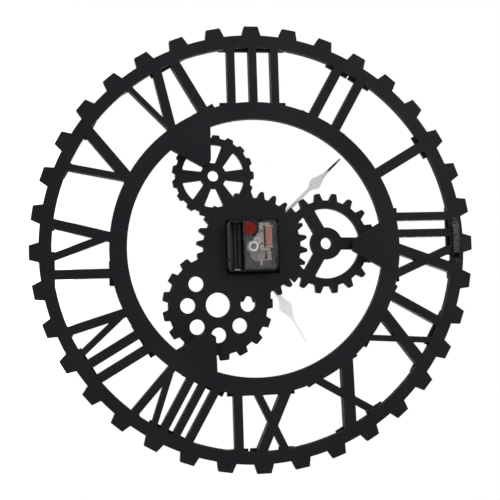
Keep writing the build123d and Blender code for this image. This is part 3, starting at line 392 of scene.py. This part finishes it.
def blackened_steel():
    """Dark plated sheet and screws, rubbed lighter in patches and along their edges, with a painted highlight on
    the upper half of the raised bar and painted shade on its lower leg.
    """
    graph = Graph("blackened_steel", Metallic=1.0)
    low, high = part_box("sawtooth_hanger")
    along = graph.along("X")
    blotch = graph.noise(scale=240.0, detail=5.0)
    wear_and_glint = graph.noise(scale=900.0, detail=3.0, stretch=(0.06, 1.0, 1.0))
    colour = graph.tone(blotch, plated_steel)
    colour = graph.mix(graph.span(wear_and_glint, low=0.55, high=0.75, to_high=0.6), colour, plated_rubbed)
    foot_start = high.x - hanger_foot
    leg_start, leg_end = high.x - hanger_leg_start, high.x - hanger_leg_end
    # Painted highlight, growing from the middle of the hanger towards its upper foot
    painted_highlight = graph.span(along, (low.x + high.x) / 2, foot_start, to_high=hanger_highlight_share)
    colour = graph.mix(painted_highlight, colour, plated_painted_highlight)
    upper_foot = graph.above(along, foot_start, hanger_fade)
    lower_foot = graph.below(along, leg_start, hanger_fade)
    feet = graph.maths("MULTIPLY", graph.maths("MAXIMUM", upper_foot, lower_foot), hanger_foot_share)
    colour = graph.mix(feet, colour, plated_foot)
    # Painted shade on the lower leg of the raised bar
    colour = graph.mix(graph.band(along, leg_end, leg_start, hanger_fade), colour, plated_shade)
    colour = graph.mix(graph.edge_wear(plated_wear_radius, start=0.99, end=0.85), colour, plated_edge)
    graph.link("Base Color", colour)
    graph.roughen(blotch, smooth=0.42, rough=0.6)
    graph.emboss(wear_and_glint, strength=0.15, distance=plated_relief, rounding=plated_rounding)
    return graph.material


def mould_texture(graph, smooth, rough, rounding=mould_rounding):
    """The fine grain that a spark cut mould leaves on plastic, and slightly rounded edges."""
    texture = graph.noise(scale=mould_grain, detail=2.0)
    graph.roughen(texture, smooth, rough)
    graph.emboss(texture, strength=0.12, distance=mould_relief, rounding=rounding)


def moulded_plastic(name, colours, rough, specular=0.5):
    """Moulded plastic of one colour, a little cloudy."""
    graph = Graph(name, Specular_IOR_Level=specular)
    graph.link("Base Color", graph.tone(graph.noise(scale=mould_cloud, detail=3.0), colours))
    mould_texture(graph, rough - mould_smoother, rough + mould_rougher)
    return graph.material


def black_case():
    """Black plastic: a grey spark cut texture on the outer rim, darker elsewhere as painted shade in the bay, and
    a painted highlight on the tops of the bay's ribs.
    """
    graph = Graph("black_plastic", Specular_IOR_Level=0.06)
    cloud = graph.noise(scale=mould_cloud, detail=3.0)
    depth, side = graph.along("Y"), graph.along("Z")
    beside_bay = graph.span(side, bay_side, bay_side + rim_fade, to_low=1.0, to_high=rim_elsewhere)
    rim = graph.maths("MULTIPLY", beside_bay, graph.span(depth, rim_start, rim_end))
    # The dark colour is the case's black and, in the bay, painted shade
    colour = graph.mix(rim, graph.tone(cloud, case_black_and_painted_shade), graph.tone(cloud, case_rim))
    # Painted highlight on the tops of the bay's ribs
    painted_rib_highlight = graph.maths(
        "MULTIPLY",
        graph.above(depth, bay_floor + rib_foot_height, rib_foot_fade),
        graph.below(depth, bay_floor + rib_top_height, rib_top_fade),
    )
    graph.link("Base Color", graph.mix(painted_rib_highlight, colour, graph.tone(cloud, case_rib_highlight)))
    mould_texture(graph, smooth=0.44, rough=0.6, rounding=case_rounding)
    return graph.material


def knob_recess_shadow(graph, inside, outside):
    """One value in the painted shadow ring on the far side of the set knob from the bay, and another elsewhere."""
    axis = joint_axes["knob"]
    ring = graph.band(graph.from_axis(axis), recess_ring_inner, recess_ring_outer, frost_fade)
    far_side = graph.above(graph.along("Z"), axis.z + far_side_start, far_side_fade)
    share = graph.maths("MULTIPLY", ring, far_side)
    return graph.span(share, low=0.0, high=1.0, to_low=outside, to_high=inside)


def train_plastic():
    """Dark grey plastic of the train plate, with painted shade beside the coil and a black painted shadow on the
    knob's far side.
    """
    graph = Graph("grey_plastic", Specular_IOR_Level=0.08)
    cloud = graph.noise(scale=mould_cloud, detail=3.0)
    # Painted shade beside the coil
    beside_coil = graph.above(graph.along("Z"), train_shade_start, train_shade_fade)
    colour = graph.mix(beside_coil, graph.tone(cloud, train_lit), graph.tone(cloud, train_shade))
    # Painted black shadow in a ring on the knob's far side
    graph.link("Base Color", graph.mix(knob_recess_shadow(graph, inside=1.0, outside=0.0), colour, knob_shadow_black))
    mould_texture(graph, smooth=0.44, rough=0.58)
    return graph.material


def smoky_cover():
    """Clear plastic with a thin grey haze, frosted on the moulded ring and disc of its inner side."""
    graph = Graph("smoky_plastic", Specular_IOR_Level=0.5)
    hand_axis = joint_axes["minute"]
    haze = graph.noise(scale=160.0, detail=5.0)
    scuff = graph.noise(scale=1100.0, detail=3.0, stretch=(0.15, 1.0, 1.0))
    ring = graph.band(graph.from_axis(hand_axis), frost_ring_inner, frost_ring_outer, frost_fade)
    disc_reach = graph.from_axis(hand_axis + frost_disc_place)
    disc = graph.below(disc_reach, frost_disc_radius - frost_fade, frost_fade)
    edge = graph.edge_wear(cover_rounding, start=0.99, end=0.85)
    colour = graph.mix(ring, graph.tone(haze, cover_haze), cover_ring)
    graph.link("Base Color", graph.mix(disc, colour, cover_disc))
    alpha = graph.span(haze, rough_low, rough_high, *haze_alpha)
    for place, share in ((edge, edge_alpha), (ring, ring_alpha), (disc, disc_alpha)):
        alpha = graph.maths("ADD", alpha, graph.maths("MULTIPLY", place, share))
    # The cover is left clear over the painted shadow by the knob
    graph.link("Alpha", graph.maths("MULTIPLY", alpha, knob_recess_shadow(graph, inside=0.0, outside=1.0)))
    graph.roughen(scuff, smooth=0.16, rough=0.34, low=0.35)
    graph.link("Normal", graph.rounded(cover_rounding))
    return graph.material


def drawn_noise(graph, axis):
    """Fine lines along one axis, as rolling and drawing leave them."""
    stretch = tuple(drawn_stretch if name == axis else 1.0 for name in "XYZ")
    return graph.noise(scale=drawn_lines, detail=3.0, stretch=stretch)


def drawn_finish(graph, lines, smooth, rough):
    """Dull smudges on sheet or drawn metal, and its lines as shallow grooves."""
    graph.roughen(graph.noise(scale=180.0, detail=4.0), smooth, rough)
    graph.emboss(lines, strength=0.1, distance=drawn_relief, rounding=drawn_rounding)


def drawn_metal(name, colours, rough, axis):
    """Sheet or drawn metal of one colour, with fine lines along one axis."""
    graph = Graph(name, Metallic=1.0)
    lines = drawn_noise(graph, axis)
    graph.link("Base Color", graph.tone(lines, colours))
    drawn_finish(graph, lines, rough - drawn_smoother, rough + drawn_rougher)
    return graph.material


def contact_leaf():
    """Dull plated spring sheet of the negative contact, with a painted glint on a small patch of it."""
    graph = Graph("contact_steel", Metallic=1.0)
    low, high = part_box("battery_contact_minus")
    lines = graph.span(drawn_noise(graph, "Z"), tone_low, tone_high)
    off_middle = graph.maths("ABSOLUTE", graph.maths("SUBTRACT", graph.along("Z"), (low.z + high.z) / 2))
    # Painted glint on a small patch of the contact
    wear_and_glint = graph.maths(
        "MULTIPLY",
        graph.below(off_middle, glint_width / 2, frost_fade),
        graph.below(graph.along("X"), low.x + glint_depth, frost_fade),
    )
    dull, painted_highlight = (graph.mix(lines, *colours) for colours in (contact_dull, contact_glint))
    graph.link("Base Color", graph.mix(wear_and_glint, dull, painted_highlight))
    drawn_finish(graph, lines, smooth=0.2, rough=0.36)
    return graph.material


def turned_brass():
    """Brass with the rings that a lathe leaves about the hand axis."""
    graph = Graph("brass", Metallic=1.0)
    radius = graph.from_axis(joint_axes["minute"])
    rings = graph.maths("SINE", graph.maths("MULTIPLY", radius, 2.0 * math.pi / lathe_pitch))
    tarnish = graph.noise(scale=420.0, detail=5.0)
    graph.link("Base Color", graph.tone(tarnish, brass_tarnish, high=0.7))
    graph.roughen(tarnish, smooth=0.22, rough=0.4)
    graph.emboss(rings, strength=0.06, distance=bright_relief, rounding=bright_rounding)
    return graph.material


def hand_metal(name, body, angle, silver, painted_needle_reflection=False):
    """Silver brushed along a hand, greyer on its front, with a painted dark reflection on its needle where that is
    asked for.
    """
    graph = Graph(name, Metallic=1.0)
    moved = graph.vectors("SUBTRACT", graph.place, joint_axes[body])
    turn = graph.add(
        "ShaderNodeVectorRotate",
        {"Vector": moved, "Axis": (0.0, 1.0, 0.0), "Angle": -angle},
        rotation_type="AXIS_ANGLE",
    )
    brushed = graph.noise(scale=2600.0, detail=3.0, stretch=(1.0, 1.0, 0.02), place=turn.outputs["Vector"])
    colour = graph.tone(brushed, silver)
    if painted_needle_reflection:
        # Painted dark reflection along part of the needle
        reach = graph.vectors("DOT_PRODUCT", moved, (math.sin(angle), 0.0, math.cos(angle)))
        needle = graph.band(reach, needle_start + needle_fade, needle_end - needle_fade, needle_fade)
        colour = graph.mix(needle, colour, needle_painted_reflection)
    off_front = graph.above(graph.facing("Y"), front_facing, front_facing_fade)
    graph.link("Base Color", graph.mix(off_front, graph.tone(brushed, hand_front), colour))
    graph.roughen(graph.noise(scale=120.0, detail=4.0), smooth=0.3, rough=0.42)
    graph.emboss(brushed, strength=0.08, distance=bright_relief, rounding=bright_rounding)
    return graph.material


def wound_copper():
    """Enamelled copper wire, a little uneven in tone from turn to turn."""
    graph = Graph("copper", Metallic=0.75, Specular_IOR_Level=0.5)
    patch = graph.noise(scale=260.0, detail=3.0)
    colour = graph.tone(graph.noise(scale=2200.0, detail=2.0, stretch=(1.0, 0.1, 0.1)), copper_turn)
    patched = graph.span(patch, low=0.45, high=0.7, to_high=0.5)
    graph.link("Base Color", graph.mix(patched, colour, copper_patch))
    graph.roughen(patch, smooth=0.3, rough=0.45)
    return graph.material


def circuit_laminate():
    """Brown laminate with its woven fibres and a lacquer sheen, tinned along its arm."""
    graph = Graph("board_brown", Specular_IOR_Level=0.5)
    fibres = graph.noise(scale=weave_scale, detail=3.0, stretch=(weave_stretch, 1.0, 1.0))
    cross = graph.noise(scale=weave_scale, detail=3.0, stretch=(1.0, 1.0, weave_stretch))
    weave = graph.maths("ADD", fibres, cross)
    on_arm = graph.above(graph.along("X"), board_arm_start, board_arm_fade)
    bare = graph.tone(weave, laminate_bare, weave_low, weave_high)
    tinned = graph.tone(weave, laminate_tinned, weave_low, weave_high)
    graph.link("Base Color", graph.mix(on_arm, bare, tinned))
    graph.roughen(weave, smooth=0.28, rough=0.45, low=weave_low, high=weave_high)
    graph.emboss(weave, strength=0.15, distance=weave_relief)
    return graph.material


def mesh_piece(name, mesh, material, smooth=True):
    """A new object around a bmesh, with its normals pointing outwards."""
    bmesh.ops.recalc_face_normals(mesh, faces=mesh.faces)
    for face in mesh.faces:
        face.smooth = smooth
    data = bpy.data.meshes.new(name)
    mesh.to_mesh(data)
    mesh.free()
    data.materials.append(material)
    piece = bpy.data.objects.new(name, data)
    bpy.context.scene.collection.objects.link(piece)
    return piece


def bridge(mesh, rings):
    """Closed walls between rings of points, with a flat cap at each end."""
    loops = [[mesh.verts.new(point) for point in ring] for ring in rings]
    count = len(loops[0])
    for lower, upper in zip(loops, loops[1:]):
        for i in range(count):
            j = (i + 1) % count
            mesh.faces.new((lower[i], lower[j], upper[j], upper[i]))
    mesh.faces.new(reversed(loops[0]))
    mesh.faces.new(loops[-1])


def coil_turns():
    """The winding as one helical ridge round a rounded box, from flange to flange."""
    low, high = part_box("coil_winding")
    middle = (low + high) / 2
    half = (high - low) / 2
    rings = []
    count = int((high.x - low.x) / winding_pitch * winding_rings_per_turn)
    for step in range(count + 1):
        x = low.x + (high.x - low.x) * step / count
        ring = []
        for side in range(winding_sides):
            angle = 2.0 * math.pi * side / winding_sides
            turn = x / winding_pitch - side / winding_sides
            sunk = winding_ridge * (1.0 - abs(math.sin(math.pi * turn)))
            square = abs(math.cos(angle)) ** winding_squareness + abs(math.sin(angle)) ** winding_squareness
            reach = square ** (-1.0 / winding_squareness)
            y = middle.y + (half.y - sunk) * reach * math.cos(angle)
            z = middle.z + (half.z - sunk) * reach * math.sin(angle)
            ring.append(Vector((x, y, z)))
        rings.append(ring)
    mesh = bmesh.new()
    bridge(mesh, rings)
    piece = mesh_piece("coil_turns", mesh, finishes["copper"])
    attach(piece, "clock")
    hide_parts("coil_winding")


def round_knob(angle):
    """The direction from the knob's axis at an angle from XII towards III."""
    return Vector((math.sin(angle), 0.0, math.cos(angle)))


def knob_arrow():
    """A raised arrow round the set knob, which shows that it turns."""
    axis = joint_axes["knob"]
    knob_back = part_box("set_knob")[1].y
    angles = [arrow_start + (arrow_end - arrow_start) * step / arrow_steps for step in range(arrow_steps + 1)]
    outer = [round_knob(angle) * (arrow_radius + arrow_width / 2) for angle in angles]
    inner = [round_knob(angle) * (arrow_radius - arrow_width / 2) for angle in angles]
    end = round_knob(arrow_end)
    head = [
        end * (arrow_radius + arrow_head_width / 2),
        round_knob(arrow_end + arrow_head_length / arrow_radius) * arrow_radius,
        end * (arrow_radius - arrow_head_width / 2),
    ]
    outline = outer + head + inner[::-1]
    base = Vector((axis.x, knob_back, axis.z))
    top = base + Vector((0.0, arrow_height, 0.0))
    mesh = bmesh.new()
    bridge(mesh, [[level + point for point in outline] for level in (base, top)])
    piece = mesh_piece("knob_arrow", mesh, finishes["red_plastic"], smooth=False)
    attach(piece, "knob")


def photo_camera():
    """The camera where the photo was taken from."""
    data = bpy.data.cameras.new("camera")
    data.lens = camera_lens
    data.sensor_width = camera_sensor
    camera = bpy.data.objects.new("camera", data)
    ahead = (camera_aim - camera_place).normalized()
    right = ahead.cross(camera_up).normalized()
    up = right.cross(ahead)
    turn = Matrix.Rotation(camera_roll, 3, ahead)
    axes = Matrix((turn @ right, turn @ up, -ahead)).transposed()
    camera.matrix_world = Matrix.Translation(camera_place) @ axes.to_4x4()
    bpy.context.scene.collection.objects.link(camera)
    bpy.context.scene.camera = camera


def seen_directly(tree):
    """1 for rays from the camera, from gloss and through clear pieces, 0 for light that falls on things."""
    path = tree.nodes.new("ShaderNodeLightPath")
    seen = path.outputs["Is Camera Ray"]
    for other in ("Is Glossy Ray", "Is Transmission Ray"):
        both = tree.nodes.new("ShaderNodeMath")
        both.operation = "MAXIMUM"
        tree.links.new(seen, both.inputs[0])
        tree.links.new(path.outputs[other], both.inputs[1])
        seen = both.outputs[0]
    return seen


def white_world():
    """A world that is seen as white and gives a weaker light from all round."""
    world = bpy.data.worlds.new("studio")
    world.use_nodes = True
    tree = world.node_tree
    strength = tree.nodes.new("ShaderNodeMix")
    tree.links.new(seen_directly(tree), strength.inputs[0])
    strength.inputs[2].default_value = sky_light
    strength.inputs[3].default_value = seen_sky
    background = tree.nodes["Background"]
    background.inputs["Color"].default_value = opaque(white)
    tree.links.new(strength.outputs[0], background.inputs["Strength"])
    bpy.context.scene.world = world


def pale_floor():
    """A pale floor just under the ring, which is seen a little brighter than its light makes it."""
    material = bpy.data.materials.new("pale_floor")
    material.use_nodes = True
    tree = material.node_tree
    shader = tree.nodes["Principled BSDF"]
    shader.inputs["Base Color"].default_value = opaque(floor_colour)
    shader.inputs["Roughness"].default_value = floor_roughness
    shader.inputs["Specular IOR Level"].default_value = 0.0
    shader.inputs["Emission Color"].default_value = opaque(white)
    glow = tree.nodes.new("ShaderNodeMath")
    glow.operation = "MULTIPLY"
    tree.links.new(seen_directly(tree), glow.inputs[0])
    glow.inputs[1].default_value = floor_glow
    tree.links.new(glow.outputs[0], shader.inputs["Emission Strength"])
    mesh = bmesh.new()
    bmesh.ops.create_grid(mesh, x_segments=1, y_segments=1, size=floor_size / 2)
    floor = mesh_piece("floor", mesh, material, smooth=False)
    floor.location.z = cad_box[0].z - floor_gap


def soft_light(name, place, power, size):
    """A round area light that looks at the origin."""
    data = bpy.data.lights.new(name, "AREA")
    data.energy = power
    data.shape = "DISK"
    data.size = size
    light = bpy.data.objects.new(name, data)
    light.location = place
    light.rotation_euler = (-place).to_track_quat("-Z", "Y").to_euler()
    bpy.context.scene.collection.objects.link(light)


# Finishes by material slot, and by node where one piece is set apart from its slot
finishes = {
    "black_board": painted_board(),
    "blackened_steel": blackened_steel(),
    "black_plastic": black_case(),
    "smoky_plastic": smoky_cover(),
    "grey_plastic": train_plastic(),
    "contact_steel": contact_leaf(),
    "battery_contact_plus": drawn_metal("contact_steel.plus", contact_plus, rough=0.4, axis="Z"),
    "board_brown": circuit_laminate(),
    "chip_black": moulded_plastic("chip_black", chip_resin, rough=0.22),
    "crystal_can": drawn_metal("crystal_can", crystal_can, rough=0.4, axis="X"),
    "cream_plastic": moulded_plastic("cream_plastic", cream_bobbin, rough=0.42),
    "copper": wound_copper(),
    "core_steel": drawn_metal("core_steel", core_steel, rough=0.42, axis="X"),
    "magnet": drawn_metal("magnet", magnet_steel, rough=0.4, axis="Y"),
    "white_plastic": moulded_plastic("white_plastic", wheel_white, rough=0.45),
    "second_wheel": moulded_plastic("white_plastic.second", second_white, rough=0.45),
    "third_wheel": moulded_plastic("white_plastic.third", third_white, rough=0.45),
    "red_plastic": moulded_plastic("red_plastic", knob_red, rough=0.36, specular=0.1),
    "brass": turned_brass(),
    "hour_hand": hand_metal("hand_metal.hour", "hour", hour_angle, hour_silver),
    "minute_hand": hand_metal("hand_metal.minute", "minute", minute_angle, minute_silver, painted_needle_reflection=True),
}
for node_name, node in nodes.items():
    node.data.materials.clear()
    node.data.materials.append(finishes.get(node_name) or finishes[slots[node_name]])

coil_turns()
knob_arrow()
photo_camera()
white_world()
pale_floor()
for light in lights:
    soft_light(*light)
bpy.context.scene.view_settings.view_transform = "Standard"
